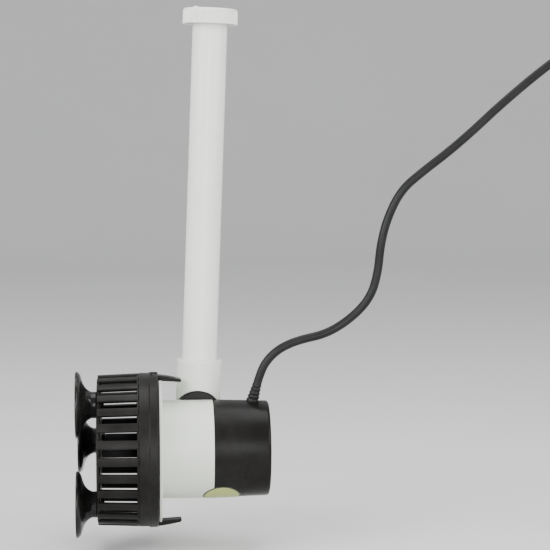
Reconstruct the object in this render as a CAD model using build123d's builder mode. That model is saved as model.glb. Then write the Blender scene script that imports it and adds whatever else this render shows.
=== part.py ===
from build123d import *
import os
from math import cos, pi, radians, sin, tan

os.makedirs("parts", exist_ok=True)

# Submersible fountain pump, held on a tank wall by three suction cups.
# Millimetres. The origin is on the wall, in the middle of the three cups. +X runs away from the
# wall along the pump's axis, +Z runs up the riser and -Y is the front.

# ---------------------------------------------------------------- driving dimensions
# suction cups
cup_count = 3
cup_circle_r = 41.0
cup_r = 23.5
cup_height = 14.8
cup_neck_r = 9.3
cup_dish_depth = 3.8
cup_land = 1.3
cup_stud_r = 4.0
cup_head_r = 7.0
cup_head_height = 2.5

# strainer cage
cage_wall = 2.8
cage_end_r = 53.7
cage_band_r = 55.0
cage_bead_r = 55.6
cage_corner = 2.5
cage_slots = 28
slot_width = 5.8
slot_start_x = 16.4
slot_end_x = 43.2
bead_start_x = 52.5
mouth_x = 58.3
mouth_lip = 2.8
mouth_bore_r = 48.7

# release tabs on the cage's mouth
tab_width = 10.0
tab_y = -4.0
tab_tip_x = 75.2
tab_seat_z = 50.0
tab_play = 0.4
tab_pivot_x = 56.6
tab_pivot_z = 52.4
tab_pin_r = 1.2
tab_pin_length = 2.6

# chamber cover, which plugs into the cage's mouth
cover_thickness = 2.0
cover_spigot_r = 48.2
cover_spigot_x = 52.5
inlet_r = 8.0
inlet_wall = 2.0
inlet_end_x = 77.5
ring_section_r = 0.9
screw_circle_r = 27.0
screw_r = 1.5

# housings
flange_x = 58.8
flange_thickness = 2.0
flange_r = 52.2
flange_notch_z = 48.7
body_r = 35.3
body_end_r = 34.2
body_wall = 3.0
chamber_end_x = 97.7
motor_end_x = 138.0
motor_wall = 2.6
motor_end_wall = 3.5
motor_corner = 1.5

# rotor and shaft
shaft_r = 2.5
running_gap = 0.08
magnet_r = 12.0
well_r = 12.6
well_wall = 1.2
well_end_x = 131.5
impeller_r = 24.0
impeller_vanes = 6

# outlet
hub_x = 87.6
hub_z = 25.8
hub_r = 16.0
hub_front_y = 0.5
hub_back_y = 35.0
hub_wall = 4.4
riser_x = 87.6
riser_y = 16.0
riser_lean = 2.0
socket_r = 16.35
socket_foot_r = 15.9
socket_foot_z = 33.5
socket_top_z = 63.2
pipe_seat_z = 47.2
pipe_r = 12.5
pipe_wall = 1.9
pipe_fit = 0.05
pipe_top_z = 306.0

# water-bell head
cap_r = 20.0
cap_skirt = 2.0
cap_bottom_z = 305.0
cap_top_z = 316.0
cap_roof = 2.4
disc_r = 15.5

# power cord
cord_d = 6.2
relief_length = 20.0
relief_tilt = 16.0
floor_z = -72.0
coil_x = 418.0
coil_y = 30.0
coil_mean_r = 34.0
coil_half_width = 7.0
coil_height = 13.0

# ---------------------------------------------------------------- planes and axes
pump_axis = Axis.X
hub_axis_point = (hub_x, hub_z)
# the riser leans a little away from the wall, about a point on the hub's level
lean_sin = sin(radians(riser_lean))
lean_cos = cos(radians(riser_lean))
riser_foot = Plane(
    origin=(riser_x - hub_z * lean_sin, riser_y, hub_z - hub_z * lean_cos),
    x_dir=(lean_cos, 0, -lean_sin),
    z_dir=(lean_sin, 0, lean_cos),
)
riser_plane = Plane(origin=riser_foot.origin, x_dir=riser_foot.x_dir, z_dir=(0, -1, 0))
riser_axis = Axis(riser_foot.origin, riser_foot.z_dir)


# ---------------------------------------------------------------- suction cups
for number in range(cup_count):
    angle = radians(360 / cup_count * number)
    cup_centre = (0, cup_circle_r * cos(angle), cup_circle_r * sin(angle))
    with BuildPart() as suction_cup:
        with BuildSketch(Plane(origin=cup_centre, x_dir=(1, 0, 0), z_dir=(0, -1, 0))):
            with BuildLine():
                Polyline(
                    (0, cup_r - 0.3 - cup_land),
                    (0, cup_r - 0.3),
                    (0.3, cup_r),
                    (1.4, cup_r),
                    (3.2, cup_r - 1.2),
                )
                ThreePointArc((3.2, cup_r - 1.2), (6.0, 13.2), (cup_height - 1.8, cup_neck_r))
                Polyline(
                    (cup_height - 1.8, cup_neck_r),
                    (cup_height, cup_neck_r),
                    (cup_height, cup_stud_r),
                    (cup_height + cage_wall, cup_stud_r),
                    (cup_height + cage_wall, cup_head_r),
                    (cup_height + cage_wall + cup_head_height, cup_stud_r + 1.0),
                    (cup_height + cage_wall + cup_head_height, 0),
                    (cup_dish_depth, 0),
                )
                ThreePointArc((cup_dish_depth, 0), (2.7, 11.5), (0, cup_r - 0.3 - cup_land))
            make_face()
        revolve(axis=Axis(cup_centre, (1, 0, 0)))
    suction_cup.part.label = f"suction_cup_{number + 1}"
    export_step(suction_cup.part, f"parts/suction_cup_{number + 1}.step")


# ---------------------------------------------------------------- strainer cage
cage_x = cup_height
with BuildPart() as strainer_cage:
    with BuildSketch(Plane.XZ):
        with BuildLine():
            Polyline(
                (cage_x, 0),
                (cage_x, cage_end_r - cage_corner),
                (cage_x + cage_corner, cage_end_r),
                (slot_end_x, cage_band_r),
                (slot_end_x, cage_band_r - 0.7),
                (slot_end_x + 1.2, cage_band_r - 0.7),
                (slot_end_x + 1.2, cage_band_r),
                (bead_start_x, cage_band_r),
                (bead_start_x + 0.5, cage_bead_r),
                (mouth_x - 0.5, cage_bead_r),
                (mouth_x, cage_band_r),
                (mouth_x, mouth_bore_r),
                (mouth_x - mouth_lip, mouth_bore_r),
                (mouth_x - mouth_lip, cage_band_r - cage_wall),
                (cage_x + cage_wall, cage_end_r - cage_wall),
                (cage_x + cage_wall, 0),
                (cage_x, 0),
            )
        make_face()
    revolve(axis=pump_axis)
    # intake slots, all round the drum
    with BuildSketch(Plane.YZ.offset(slot_start_x)):
        with PolarLocations(cage_end_r, cage_slots, start_angle=180 / cage_slots):
            Rectangle(4 * cage_wall, slot_width)
    extrude(amount=slot_end_x - slot_start_x, mode=Mode.SUBTRACT)
    # holes for the cups' studs
    with BuildSketch(Plane.YZ.offset(cage_x)):
        with PolarLocations(cup_circle_r, cup_count):
            Circle(cup_stud_r)
    extrude(amount=cage_wall, mode=Mode.SUBTRACT)
    # seats and pin holes for the two release tabs
    seat_start_x = mouth_x - 5.1
    seat_depth = mouth_x - seat_start_x
    for side in (1, -1):
        with BuildSketch(Plane.YZ.offset(seat_start_x)):
            with Locations((tab_y, side * (tab_seat_z + 5))):
                Rectangle(tab_width + 2 * tab_play, 10)
        extrude(amount=seat_depth, mode=Mode.SUBTRACT)
        with BuildSketch(Plane.XZ.offset(-tab_y)):
            with Locations((tab_pivot_x, side * tab_pivot_z)):
                Circle(tab_pin_r + running_gap)
        extrude(amount=tab_width / 2 + tab_pin_length, both=True, mode=Mode.SUBTRACT)
strainer_cage.part.label = "strainer_cage"
export_step(strainer_cage.part, "parts/strainer_cage.step")

for name, side in (("release_tab_upper", 1), ("release_tab_lower", -1)):
    with BuildPart() as release_tab:
        with BuildSketch(Plane.XZ.offset(-tab_y)):
            with BuildLine():
                Polyline(
                    (tab_pivot_x - 2.7, side * (tab_seat_z + tab_play)),
                    (tab_pivot_x - 2.7, side * (tab_pivot_z + 2.1)),
                    (tab_pivot_x - 2.0, side * (tab_pivot_z + 2.5)),
                    (mouth_x, side * 54.4),
                    (tab_tip_x - 0.8, side * 51.5),
                    (tab_tip_x, side * 50.5),
                    (tab_tip_x - 0.5, side * 49.5),
                    (flange_x + flange_thickness, side * (tab_seat_z + tab_play)),
                    (tab_pivot_x - 2.7, side * (tab_seat_z + tab_play)),
                )
            make_face()
        extrude(amount=tab_width / 2, both=True)
        # trunnions
        with BuildSketch(Plane.XZ.offset(-tab_y)):
            with Locations((tab_pivot_x, side * tab_pivot_z)):
                Circle(tab_pin_r)
        extrude(amount=tab_width / 2 + tab_pin_length - 0.3, both=True)
    release_tab.part.label = name
    export_step(release_tab.part, f"parts/{name}.step")


# ---------------------------------------------------------------- chamber cover and its seals
cover_x = mouth_x - cover_thickness
ring_centre_r = mouth_bore_r - 0.1 - ring_section_r
ring_x = mouth_x - mouth_lip / 2
bush_x = mouth_x + 3.2
bush_length = 4.5
with BuildPart() as chamber_cover:
    with BuildSketch(Plane.XZ):
        with BuildLine():
            Polyline(
                (cover_spigot_x, inlet_r + 1.0),
                (cover_spigot_x, inlet_r + inlet_wall),
                (cover_x, inlet_r + inlet_wall),
                (cover_x, cover_spigot_r - 2.8),
                (cover_spigot_x, cover_spigot_r - 2.8),
                (cover_spigot_x, cover_spigot_r - 0.6),
                (cover_spigot_x + 0.8, cover_spigot_r),
                (ring_x - ring_section_r, cover_spigot_r),
                (ring_x - ring_section_r, ring_centre_r - ring_section_r),
                (ring_x + ring_section_r, ring_centre_r - ring_section_r),
                (ring_x + ring_section_r, cover_spigot_r),
                (mouth_x, cover_spigot_r),
                (mouth_x, inlet_r + inlet_wall),
                (inlet_end_x, inlet_r + inlet_wall),
                (inlet_end_x, inlet_r),
                (cover_spigot_x + 1.0, inlet_r),
                (cover_spigot_x, inlet_r + 1.0),
            )
        make_face()
    revolve(axis=pump_axis)
    # spider that carries the front bush
    with BuildSketch(Plane.YZ.offset(bush_x)):
        Circle(5.2)
        with PolarLocations((inlet_r + 5.2) / 2 - 0.4, 3, start_angle=90):
            Rectangle(inlet_r - 4.0, 1.8)
        Circle(3.9, mode=Mode.SUBTRACT)
    extrude(amount=bush_length)
    with BuildSketch(Plane.YZ.offset(cover_x)):
        with PolarLocations(screw_circle_r, 4, start_angle=45):
            Circle(screw_r)
    extrude(amount=cover_thickness, mode=Mode.SUBTRACT)
chamber_cover.part.label = "chamber_cover"
export_step(chamber_cover.part, "parts/chamber_cover.step")

with BuildPart() as strainer_o_ring:
    with BuildSketch(Plane.XZ):
        with Locations((ring_x, ring_centre_r)):
            Circle(ring_section_r)
    revolve(axis=pump_axis)
strainer_o_ring.part.label = "strainer_o_ring"
export_step(strainer_o_ring.part, "parts/strainer_o_ring.step")

boss_r = 5.5
boss_length = 12.0
with BuildPart() as chamber_gasket:
    with BuildSketch(Plane.YZ.offset(mouth_x)):
        Circle(cover_spigot_r - 0.2)
        Circle(body_r - body_wall, mode=Mode.SUBTRACT)
    extrude(amount=flange_x - mouth_x)
chamber_gasket.part.label = "chamber_gasket"
export_step(chamber_gasket.part, "parts/chamber_gasket.step")

with BuildPart() as cover_screws:
    with BuildSketch(Plane.YZ.offset(cover_x - 1.8)):
        with PolarLocations(screw_circle_r, 4, start_angle=45):
            Circle(2 * screw_r)
    extrude(amount=1.8)
    with BuildSketch(Plane.YZ.offset(cover_x)):
        with PolarLocations(screw_circle_r, 4, start_angle=45):
            Circle(screw_r)
    extrude(amount=12)
    # cross recesses
    with BuildSketch(Plane.YZ.offset(cover_x - 1.8)):
        with PolarLocations(screw_circle_r, 4, start_angle=45):
            Rectangle(3.2, 0.7)
            Rectangle(0.7, 3.2)
    extrude(amount=1.0, mode=Mode.SUBTRACT)
cover_screws.part.label = "cover_screws"
export_step(cover_screws.part, "parts/cover_screws.step")


# ---------------------------------------------------------------- pump chamber (white)
well_outer_r = well_r + well_wall
with BuildPart() as chamber_housing:
    with BuildSketch(Plane.XZ):
        with BuildLine():
            Polyline(
                (flange_x, body_r - body_wall),
                (flange_x, flange_r),
                (flange_x + flange_thickness, flange_r),
                (flange_x + flange_thickness, body_r),
                (chamber_end_x, body_r),
                (chamber_end_x, well_outer_r),
                (chamber_end_x - body_wall, well_outer_r),
                (chamber_end_x - body_wall, body_r - body_wall),
                (flange_x, body_r - body_wall),
            )
        make_face()
    revolve(axis=pump_axis)
    # notches that let the release tabs pass
    with BuildSketch(Plane.YZ.offset(flange_x)):
        for side in (1, -1):
            with Locations((tab_y, side * (flange_notch_z + 3))):
                Rectangle(tab_width + 3, 6)
    extrude(amount=flange_thickness, mode=Mode.SUBTRACT)
    with BuildSketch(Plane.YZ.offset(flange_x)):
        with PolarLocations(screw_circle_r, 4, start_angle=45):
            Circle(boss_r)
            Circle(screw_r, mode=Mode.SUBTRACT)
    extrude(amount=boss_length)
    # outlet port under the hub
    with BuildSketch(Plane.XY.offset(body_r / 2)):
        with Locations((riser_x, riser_y)):
            Circle(7.5)
    extrude(amount=body_r / 2 + 3, mode=Mode.SUBTRACT)
chamber_housing.part.label = "chamber_housing"
export_step(chamber_housing.part, "parts/chamber_housing.step")


# ---------------------------------------------------------------- motor
motor_bore_r = body_r - motor_wall - 0.6
label_x = 103.4
label_r = 13.5
relief_sin = sin(radians(relief_tilt))
relief_cos = cos(radians(relief_tilt))
cord_start = (130.0, 0.0, 46.5)
relief_base = (
    cord_start[0] - relief_length * relief_sin,
    0.0,
    cord_start[2] - relief_length * relief_cos,
)
relief_plane = Plane(origin=relief_base, x_dir=(relief_cos, 0, -relief_sin), z_dir=(relief_sin, 0, relief_cos))
relief_root_r = 4.5
with BuildPart() as motor_housing:
    with BuildSketch(Plane.XZ):
        with BuildLine():
            Polyline(
                (chamber_end_x, motor_bore_r),
                (chamber_end_x, body_r),
                (motor_end_x - motor_corner, body_end_r),
                (motor_end_x, body_end_r - motor_corner),
                (motor_end_x, 0),
                (motor_end_x - motor_end_wall, 0),
                (motor_end_x - motor_end_wall, motor_bore_r),
                (chamber_end_x, motor_bore_r),
            )
        make_face()
    revolve(axis=pump_axis)
    with BuildSketch(relief_plane):
        Circle(relief_root_r)
    extrude(amount=relief_length, mode=Mode.SUBTRACT)
motor_housing.part.label = "motor_housing"
export_step(motor_housing.part, "parts/motor_housing.step")

with BuildPart() as rotor_well:
    with BuildSketch(Plane.XZ):
        with BuildLine():
            Polyline(
                (chamber_end_x, well_r),
                (chamber_end_x, motor_bore_r - 1.5),
                (chamber_end_x + 1.5, motor_bore_r - 1.5),
                (chamber_end_x + 1.5, well_outer_r),
                (well_end_x, well_outer_r),
                (well_end_x, 0),
                (well_end_x - 1.5, 0),
                (well_end_x - 1.5, well_r),
                (chamber_end_x, well_r),
            )
        make_face()
    revolve(axis=pump_axis)
rotor_well.part.label = "rotor_well"
export_step(rotor_well.part, "parts/rotor_well.step")

core_start_x = 102.5
core_length = 16.0
core_inner_r = 26.5
core_outer_r = 31.0
pole_width = 12.0
with BuildPart() as stator_core:
    with BuildSketch(Plane.YZ.offset(core_start_x)):
        Circle(core_outer_r)
        Circle(core_inner_r, mode=Mode.SUBTRACT)
        Rectangle(pole_width, 2 * core_inner_r + 4)
        Circle(well_outer_r, mode=Mode.SUBTRACT)
    extrude(amount=core_length)
stator_core.part.label = "stator_core"
export_step(stator_core.part, "parts/stator_core.step")

coil_low_z = 15.5
coil_high_z = 23.5
coil_overhang = 3.0
for name, side in (("stator_coil_upper", 1), ("stator_coil_lower", -1)):
    with BuildPart() as stator_coil:
        with BuildSketch(Plane.XY.offset(side * (coil_low_z + coil_high_z) / 2)):
            with Locations((core_start_x + core_length / 2, 0)):
                RectangleRounded(core_length + 2 * coil_overhang, 21, 2.5)
                Rectangle(core_length, pole_width, mode=Mode.SUBTRACT)
        extrude(amount=(coil_high_z - coil_low_z) / 2, both=True)
    stator_coil.part.label = name
    export_step(stator_coil.part, f"parts/{name}.step")

with BuildPart() as potting_resin:
    with BuildSketch(Plane.YZ.offset(chamber_end_x + 1.5)):
        Circle(motor_bore_r)
    extrude(amount=motor_end_x - motor_end_wall - chamber_end_x - 1.5)
    with BuildSketch(Plane.YZ.offset(chamber_end_x + 1.5)):
        Circle(well_outer_r)
    extrude(amount=well_end_x - chamber_end_x - 1.5, mode=Mode.SUBTRACT)
    with BuildSketch(Plane.YZ.offset(core_start_x)):
        Circle(core_outer_r)
        Circle(core_inner_r, mode=Mode.SUBTRACT)
        Rectangle(pole_width, 2 * core_inner_r + 4)
    extrude(amount=core_length, mode=Mode.SUBTRACT)
    for side in (1, -1):
        with BuildSketch(Plane.XY.offset(side * (coil_low_z + coil_high_z) / 2)):
            with Locations((core_start_x + core_length / 2, 0)):
                RectangleRounded(core_length + 2 * coil_overhang, 21, 2.5)
        extrude(amount=(coil_high_z - coil_low_z) / 2, both=True, mode=Mode.SUBTRACT)
    with BuildSketch(relief_plane):
        Circle(relief_root_r)
    extrude(amount=relief_length, mode=Mode.SUBTRACT)
potting_resin.part.label = "potting_resin"
export_step(potting_resin.part, "parts/potting_resin.step")

# round blank label, bent over the seam between the two housings
label_tilt = 27.0
label_thickness = 0.3
label_direction = (0, -sin(radians(label_tilt)), -cos(radians(label_tilt)))
draft = (body_r - body_end_r) / (motor_end_x - motor_corner - chamber_end_x)
label_low_x = label_x - label_r - 1
label_high_x = label_x + label_r + 1
label_drop = draft * (label_high_x - chamber_end_x)
with BuildPart() as round_label:
    with BuildSketch(Plane.XZ):
        with BuildLine():
            Polyline(
                (label_low_x, body_r),
                (chamber_end_x, body_r),
                (label_high_x, body_r - label_drop),
                (label_high_x, body_r - label_drop + label_thickness),
                (chamber_end_x, body_r + label_thickness),
                (label_low_x, body_r + label_thickness),
                (label_low_x, body_r),
            )
        make_face()
    revolve(axis=pump_axis)
    with BuildSketch(Plane(origin=(label_x, 0, 0), x_dir=(1, 0, 0), z_dir=label_direction)):
        Circle(label_r)
    extrude(amount=body_r + 5, mode=Mode.INTERSECT)
round_label.part.label = "round_label"
export_step(round_label.part, "parts/round_label.step")


# ---------------------------------------------------------------- rotor, shaft and impeller
bush_bore_r = shaft_r + running_gap
impeller_front_x = 79.0
impeller_plate_x = 90.5
impeller_hub_r = 6.0
magnet_start_x = 99.8
magnet_end_x = 127.0
with BuildPart() as shaft:
    with BuildSketch(Plane.YZ.offset(bush_x)):
        Circle(shaft_r)
    extrude(amount=well_end_x - 1.5 - bush_x)
shaft.part.label = "shaft"
export_step(shaft.part, "parts/shaft.step")

for name, start_x, outer_r, length in (
    ("front_bush", bush_x, 3.9, bush_length),
    ("thrust_washer", 75.0, 4.6, 1.2),
    ("rear_bush", magnet_end_x + 0.5, 6.0, well_end_x - 1.5 - magnet_end_x - 0.5),
):
    with BuildPart() as bush:
        with BuildSketch(Plane.YZ.offset(start_x)):
            Circle(outer_r)
            Circle(shaft_r, mode=Mode.SUBTRACT)
        extrude(amount=length)
    bush.part.label = name
    export_step(bush.part, f"parts/{name}.step")

with BuildPart() as impeller:
    with BuildSketch(Plane.YZ.offset(76.6)):
        Circle(impeller_hub_r)
    extrude(amount=magnet_start_x - 76.6)
    with BuildSketch(Plane.YZ.offset(impeller_plate_x)):
        Circle(impeller_r)
    extrude(amount=2.0)
    with BuildSketch(Plane.YZ.offset(impeller_front_x)):
        with PolarLocations((impeller_r + impeller_hub_r) / 2, impeller_vanes):
            Rectangle(impeller_r - impeller_hub_r, 1.8, rotation=12)
    extrude(amount=impeller_plate_x - impeller_front_x)
    with BuildSketch(Plane.YZ.offset(76.6)):
        Circle(bush_bore_r)
    extrude(amount=magnet_start_x - 76.6, mode=Mode.SUBTRACT)
impeller.part.label = "impeller"
export_step(impeller.part, "parts/impeller.step")

with BuildPart() as rotor_magnet:
    with BuildSketch(Plane.YZ.offset(magnet_start_x)):
        Circle(magnet_r)
        Circle(bush_bore_r, mode=Mode.SUBTRACT)
    extrude(amount=magnet_end_x - magnet_start_x)
    chamfer(rotor_magnet.edges().filter_by(GeomType.CIRCLE).group_by(SortBy.RADIUS)[-1], 0.8)
rotor_magnet.part.label = "rotor_magnet"
export_step(rotor_magnet.part, "parts/rotor_magnet.step")


# ---------------------------------------------------------------- outlet hub and riser
hub_length = hub_back_y - hub_front_y
hub_bore_r = hub_r - hub_wall
plug_depth = 6.0
spigot_r = 10.0
passage_r = 7.5
with BuildPart() as outlet_hub:
    with BuildSketch(Plane.XZ.offset(-hub_front_y)):
        with Locations(hub_axis_point):
            Circle(hub_r)
    extrude(amount=-hub_length)
    chamfer(outlet_hub.edges().filter_by(GeomType.CIRCLE), 0.8)
    with BuildSketch(Plane.XZ.offset(-hub_front_y - 3)):
        with Locations(hub_axis_point):
            Circle(hub_bore_r)
    extrude(amount=-(hub_length - 3), mode=Mode.SUBTRACT)
    with BuildSketch(Plane.YZ.offset(hub_x - hub_r)):
        Circle(body_r)
    extrude(amount=2 * hub_r, mode=Mode.SUBTRACT)
    with BuildSketch(riser_foot.offset(hub_z + 8)):
        Circle(spigot_r)
    extrude(amount=hub_r, mode=Mode.SUBTRACT)
outlet_hub.part.label = "outlet_hub"
export_step(outlet_hub.part, "parts/outlet_hub.step")

with BuildPart() as hub_plug:
    with BuildSketch(Plane.XZ.offset(-hub_back_y + plug_depth)):
        with Locations(hub_axis_point):
            Circle(hub_bore_r)
    extrude(amount=-plug_depth)
    with BuildSketch(Plane.XZ.offset(-hub_back_y)):
        with Locations(hub_axis_point):
            Circle(hub_r - 0.8)
    extrude(amount=-2.0)
    # coin slot
    with BuildSketch(Plane.XZ.offset(-hub_back_y - 2.0)):
        with Locations(hub_axis_point):
            Rectangle(14, 2)
    extrude(amount=1.2, mode=Mode.SUBTRACT)
    with BuildSketch(Plane.YZ.offset(hub_x - hub_r)):
        Circle(body_r)
    extrude(amount=2 * hub_r, mode=Mode.SUBTRACT)
hub_plug.part.label = "hub_plug"
export_step(hub_plug.part, "parts/hub_plug.step")

with BuildPart() as riser_socket:
    with BuildSketch(riser_plane):
        with BuildLine():
            Polyline(
                (passage_r, socket_foot_z),
                (socket_foot_r, socket_foot_z),
                (socket_r, socket_top_z - 0.5),
                (socket_r - 0.5, socket_top_z),
                (pipe_r + pipe_fit + 0.6, socket_top_z),
                (pipe_r + pipe_fit, socket_top_z - 0.6),
                (pipe_r + pipe_fit, pipe_seat_z),
                (passage_r, pipe_seat_z),
                (passage_r, socket_foot_z),
            )
        make_face()
    revolve(axis=riser_axis)
    # the foot is coped to sit astride the hub and the body
    with BuildSketch(Plane.XZ.offset(socket_r - riser_y)):
        with Locations(hub_axis_point):
            Circle(hub_r)
    extrude(amount=-2 * socket_r, mode=Mode.SUBTRACT)
    with BuildSketch(Plane.YZ.offset(riser_x - 2 * socket_r)):
        Circle(body_r)
    extrude(amount=4 * socket_r, mode=Mode.SUBTRACT)
    # spigot through the hub's wall
    with BuildSketch(riser_foot.offset(hub_z + hub_bore_r - 1)):
        Circle(spigot_r)
        Circle(passage_r, mode=Mode.SUBTRACT)
    extrude(amount=pipe_seat_z - hub_z - hub_bore_r)
riser_socket.part.label = "riser_socket"
export_step(riser_socket.part, "parts/riser_socket.step")

pipe_bore_r = pipe_r - pipe_wall
with BuildPart() as riser_pipe:
    with BuildSketch(riser_plane):
        with BuildLine():
            Polyline(
                (pipe_bore_r, pipe_seat_z),
                (pipe_r - 0.6, pipe_seat_z),
                (pipe_r, pipe_seat_z + 0.6),
                (pipe_r, pipe_top_z),
                (pipe_bore_r, pipe_top_z),
                (pipe_bore_r, pipe_seat_z),
            )
        make_face()
    revolve(axis=riser_axis)
riser_pipe.part.label = "riser_pipe"
export_step(riser_pipe.part, "parts/riser_pipe.step")


# ---------------------------------------------------------------- water-bell head
stem_r = 2.5
insert_length = 16.0
insert_lip = 1.5
disc_gap = 2.0
disc_thickness = 1.5
disc_z = pipe_top_z + insert_lip + disc_gap
cap_boss_z = disc_z + disc_thickness + 0.3
with BuildPart() as nozzle_insert:
    with BuildSketch(riser_foot.offset(pipe_top_z - insert_length)):
        Circle(pipe_bore_r)
        Circle(pipe_bore_r - 1.6, mode=Mode.SUBTRACT)
        Circle(4.4)
        with PolarLocations(pipe_bore_r / 2 + 1.2, 3):
            Rectangle(pipe_bore_r - 4.4, 1.8)
        Circle(stem_r + running_gap, mode=Mode.SUBTRACT)
    extrude(amount=insert_length)
    with BuildSketch(riser_foot.offset(pipe_top_z)):
        Circle(pipe_r + 0.7)
        Circle(pipe_bore_r - 1.6, mode=Mode.SUBTRACT)
    extrude(amount=insert_lip)
nozzle_insert.part.label = "nozzle_insert"
export_step(nozzle_insert.part, "parts/nozzle_insert.step")

with BuildPart() as spreader_disc:
    with BuildSketch(riser_plane):
        with BuildLine():
            Polyline(
                (stem_r, disc_z - 3.0),
                (stem_r + 1.6, disc_z - 2.4),
                (disc_r - 5.0, disc_z),
                (disc_r, disc_z),
                (disc_r, disc_z + 0.7),
                (disc_r - 1.0, disc_z + disc_thickness),
                (stem_r, disc_z + disc_thickness),
                (stem_r, disc_z - 3.0),
            )
        make_face()
    revolve(axis=riser_axis)
spreader_disc.part.label = "spreader_disc"
export_step(spreader_disc.part, "parts/spreader_disc.step")

with BuildPart() as head_stem:
    with BuildSketch(riser_foot.offset(pipe_top_z - insert_length - 4)):
        Circle(stem_r)
    extrude(amount=cap_top_z - 1.0 - (pipe_top_z - insert_length - 4))
head_stem.part.label = "head_stem"
export_step(head_stem.part, "parts/head_stem.step")

cap_lip = 0.8
roof_z = cap_top_z - cap_roof
with BuildPart() as bell_cap:
    with BuildSketch(riser_plane):
        with BuildLine():
            Polyline(
                (cap_r - cap_skirt, cap_bottom_z),
                (cap_r, cap_bottom_z),
                (cap_r, cap_bottom_z + cap_lip),
                (cap_r - 0.3, cap_bottom_z + cap_lip + 0.4),
                (cap_r - 0.3, cap_top_z - 1.6),
                (cap_r - 1.9, cap_top_z - 0.3),
                (cap_r - 3.0, cap_top_z),
                (stem_r + pipe_fit, cap_top_z),
                (stem_r + pipe_fit, cap_boss_z),
                (stem_r + 3.0, cap_boss_z),
                (stem_r + 3.0, roof_z),
                (cap_r - cap_skirt, roof_z),
                (cap_r - cap_skirt, cap_bottom_z),
            )
        make_face()
    revolve(axis=riser_axis)
    # index pip on the rim
    with BuildSketch(riser_foot.offset(cap_top_z)):
        with Locations((-11.0, -11.0)):
            Circle(2.0)
    extrude(amount=0.8)
bell_cap.part.label = "bell_cap"
export_step(bell_cap.part, "parts/bell_cap.step")


# ---------------------------------------------------------------- power cord
cord_r = cord_d / 2
rib_count = 4
rib_pitch = 3.0
rib_start = 7.8
with BuildPart() as strain_relief:
    with BuildSketch(Plane(origin=relief_base, x_dir=relief_plane.x_dir, z_dir=(0, -1, 0))):
        with BuildLine():
            rib_points = [(0, 0), (relief_root_r, 0), (relief_root_r, rib_start)]
            for rib in range(rib_count):
                foot = rib_start + rib * rib_pitch
                taper = 0.28 * rib
                rib_points.append((relief_root_r - 0.7 - taper, foot + 0.3))
                rib_points.append((relief_root_r - 0.7 - taper, foot + 1.1))
                rib_points.append((relief_root_r - 0.1 - taper, foot + 1.4))
                rib_points.append((relief_root_r - 0.1 - taper, foot + rib_pitch - 0.3))
            rib_points.append((cord_r + 0.2, relief_length))
            rib_points.append((0, relief_length))
            rib_points.append((0, 0))
            Polyline(*rib_points)
        make_face()
    revolve(axis=Axis(relief_base, relief_plane.z_dir))
strain_relief.part.label = "strain_relief"
export_step(strain_relief.part, "parts/strain_relief.step")

coil_top_z = floor_z + coil_height
entry_x = coil_x + coil_mean_r
lay_z = coil_top_z + cord_r
cord_points = [
    cord_start,
    (132.9, 0, 56.6),
    (138.6, 0, 65.4),
    (147.0, 0, 72.5),
    (159.8, 0, 78.0),
    (181.0, 0, 82.5),
    (199.5, 0, 94.5),
    (212.5, 0, 109.0),
    (217.6, 0, 127.0),
    (219.2, 0, 146.0),
    (224.0, 0, 165.5),
    (234.0, 0, 186.0),
    (250.0, 0, 199.5),
    (268.5, 0, 213.5),
    (286.0, 0, 228.5),
    (308.0, 0, 249.0),
    (338.0, 0, 274.0),
    (368.0, -1, 295.0),
    (400.0, -3, 304.0),
    (429.0, -5, 292.0),
    (446.0, -7, 262.0),
    (451.5, -9, 208.0),
    (453.0, -11, 132.0),
    (451.0, -12, 60.0),
    (452.5, -12, 10.0),
    (entry_x, -11.6, -28.2),
    (entry_x, -6.4, lay_z + 14.9),
    (entry_x, 3.3, lay_z + 5.2),
    (entry_x, 16.0, lay_z),
    (entry_x, 29.0, lay_z),
]


def corner_radii(points):
    """Each corner's arc: 0.45 of its shorter run, over the tangent of half the turn."""
    radii = []
    for before, corner, after in zip(points, points[1:], points[2:]):
        run_in = Vector(*corner) - Vector(*before)
        run_out = Vector(*after) - Vector(*corner)
        half_turn = radians(run_in.get_angle(run_out)) / 2
        radii.append(0.45 * min(run_in.length, run_out.length) / tan(half_turn))
    return radii


cord_radii = corner_radii(cord_points)
with BuildPart() as power_cord:
    with BuildLine():
        cord_path = FilletPolyline(*cord_points, radius=cord_radii)
    with BuildSketch(Plane(origin=cord_start, z_dir=cord_path % 0)):
        Circle(cord_r)
    sweep()
power_cord.part.label = "power_cord"
export_step(power_cord.part, "parts/power_cord.step")
tube_length = cord_path.length
tube_share = power_cord.part.volume / (pi * cord_r**2 * tube_length)
print("cord arcs, mm:", [round(radius) for radius in cord_radii])
print("cord tube", round(tube_length), "mm long, volume over section times length", round(tube_share, 3))

with BuildPart() as cord_coil:
    with BuildSketch(Plane(origin=(coil_x, coil_y, 0), x_dir=(1, 0, 0), z_dir=(0, -1, 0))):
        with Locations((coil_mean_r, floor_z + coil_height / 2)):
            RectangleRounded(2 * coil_half_width, coil_height, cord_r)
    revolve(axis=Axis((coil_x, coil_y, 0), (0, 0, 1)))
cord_coil.part.label = "cord_coil"
export_step(cord_coil.part, "parts/cord_coil.step")

tail_z = floor_z + cord_r
tail_start_y = coil_y + 15.0
plug_y = coil_y + 36.0
with BuildPart() as cord_tail:
    with BuildSketch(Plane.XZ.offset(-tail_start_y)):
        with Locations((entry_x, tail_z)):
            Circle(cord_r)
    extrude(amount=-(plug_y - tail_start_y))
cord_tail.part.label = "cord_tail"
export_step(cord_tail.part, "parts/cord_tail.step")

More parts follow.
